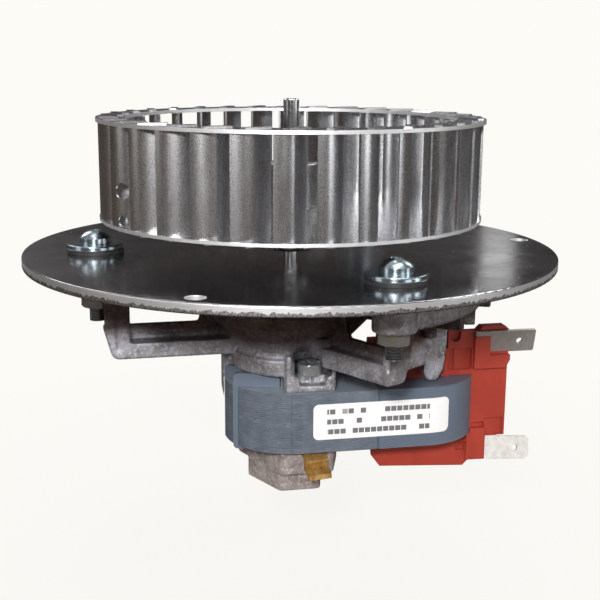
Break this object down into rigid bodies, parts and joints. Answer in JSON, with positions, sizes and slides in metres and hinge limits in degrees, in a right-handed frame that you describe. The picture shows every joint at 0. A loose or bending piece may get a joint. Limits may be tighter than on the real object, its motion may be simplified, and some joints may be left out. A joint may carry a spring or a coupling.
{
  "type": "combustion fan",
  "caption": "Boiler combustion fan insert: an open shaded-pole motor hangs under a round mounting plate and spins a forward-curved impeller above it.",
  "frame": {"origin": "where the shaft axis crosses the top face of the round mounting plate", "axes": "+Z along the shaft towards the impeller inlet; -Y is the front, the side with the label; +X is the side of the spade terminals"},
  "size_m": [0.1358, 0.1358, 0.0997],
  "materials": {
    "polished_aluminium": "polished sheet with fine turning marks",
    "black_rubber": "matt black rubber",
    "zinc_steel": "bright zinc plating",
    "cast_aluminium": "rough pressure die casting",
    "painted_laminations": "blue-grey dipped paint over stacked laminations",
    "paper_label": "blank white label",
    "yellow_brass": "passivated yellow brass",
    "red_plastic": "brick red moulded plastic",
    "copper_wire": "enamelled copper wire",
    "coil_tape": "yellow insulating tape",
    "tinned_brass": "tinned, slightly dull",
    "sintered_bronze": "porous oil-filled bronze",
    "spring_steel": "plain spring steel",
    "oiled_felt": "oil-soaked wool felt",
    "ground_steel": "ground steel rod",
    "rotor_iron": "turned electrical steel",
    "cast_cage": "cast aluminium",
    "white_nylon": "natural nylon",
    "turned_aluminium": "turned",
    "black_steel": "black oxide",
    "sheet_aluminium": "mill-finish sheet"
  },
  "bodies": {
    "frame": {"mounting_plate": "polished_aluminium", "plate_grommets": "black_rubber", "spacer_sleeves": "zinc_steel", "plate_washers": "zinc_steel", "plate_screws": "zinc_steel", "plate_nuts": "zinc_steel", "motor_spider": "cast_aluminium", "lower_bracket": "cast_aluminium", "pole_stack": "painted_laminations", "yoke_stack": "painted_laminations", "front_shading_rings": "painted_laminations", "rear_shading_rings": "painted_laminations", "clamp_screws": "zinc_steel", "rating_label": "paper_label", "earth_tab": "yellow_brass", "coil_bobbin": "red_plastic", "coil_winding": "copper_wire", "coil_tape": "coil_tape", "upper_spade": "tinned_brass", "lower_spade": "tinned_brass", "upper_bearing": "sintered_bronze", "upper_bearing_retainer": "spring_steel", "upper_bearing_felt": "oiled_felt", "lower_bearing": "sintered_bronze", "lower_bearing_retainer": "spring_steel", "lower_bearing_felt": "oiled_felt"},
    "rotor": {"rotor_shaft": "ground_steel", "rotor_core": "rotor_iron", "rotor_cage": "cast_cage", "rotor_spacers": "white_nylon", "impeller_hub": "turned_aluminium", "hub_grub_screw": "black_steel", "impeller_back_plate": "sheet_aluminium", "impeller_blades": "sheet_aluminium", "impeller_top_ring": "sheet_aluminium"}
  },
  "joints": [
    {"name": "rotor_spin", "type": "hinge", "parent": "frame", "child": "rotor", "pos_m": [0, 0, 0], "axis": [0, 0, 1], "continuous": true}
  ]
}
